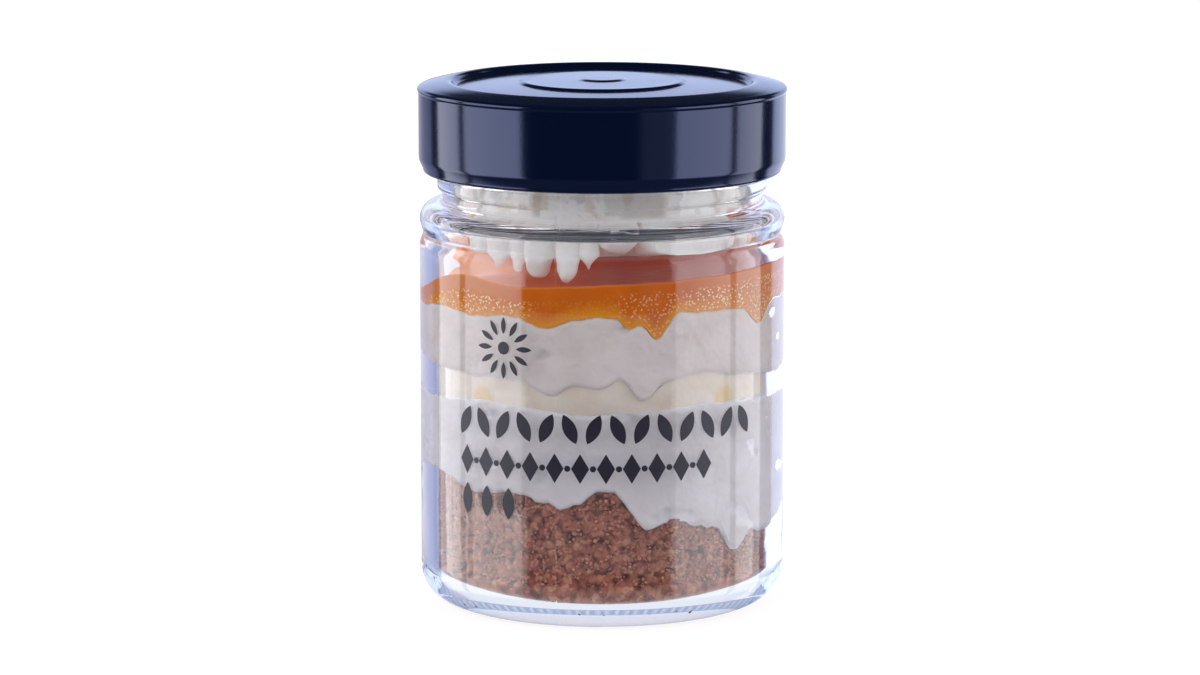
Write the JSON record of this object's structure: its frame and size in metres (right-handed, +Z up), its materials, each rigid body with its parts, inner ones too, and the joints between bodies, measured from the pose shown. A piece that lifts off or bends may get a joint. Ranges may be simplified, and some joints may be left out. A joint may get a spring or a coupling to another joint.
{
  "type": "layered cheesecake in a screw-top glass jar",
  "caption": "Clear round glass jar with a dark screw lid, filled with biscuit crumb, cream, cheesecake, fruit curd and piped whipped cream.",
  "frame": {"origin": "centre of the jar's foot, on the plane it stands on", "axes": "+Z up along the jar's axis, -Y towards the front where the label is, +X to the right as seen from the front"},
  "size_m": [0.0748, 0.0748, 0.1065],
  "materials": {
    "clear_glass": "clear, smooth and glossy",
    "navy_lacquer": "glossy near-black navy lacquer on sheet steel",
    "clear_film": "thin clear label film with dark printed shapes",
    "biscuit_crumb": "dry crushed biscuit, brown and grainy",
    "white_cream": "soft off-white cream with a slight sheen",
    "cheesecake": "pale yellow baked cheesecake, smooth and moist",
    "fruit_curd": "wet amber-orange fruit curd, glossy and a little see-through"
  },
  "bodies": {
    "root": {"glass_jar": "clear_glass", "screw_lid": "navy_lacquer", "clear_label": "clear_film", "biscuit_crumb": "biscuit_crumb", "lower_cream": "white_cream", "cheesecake_band": "cheesecake", "upper_cream": "white_cream", "fruit_curd": "fruit_curd", "whipped_cream": "white_cream"}
  },
  "joints": []
}
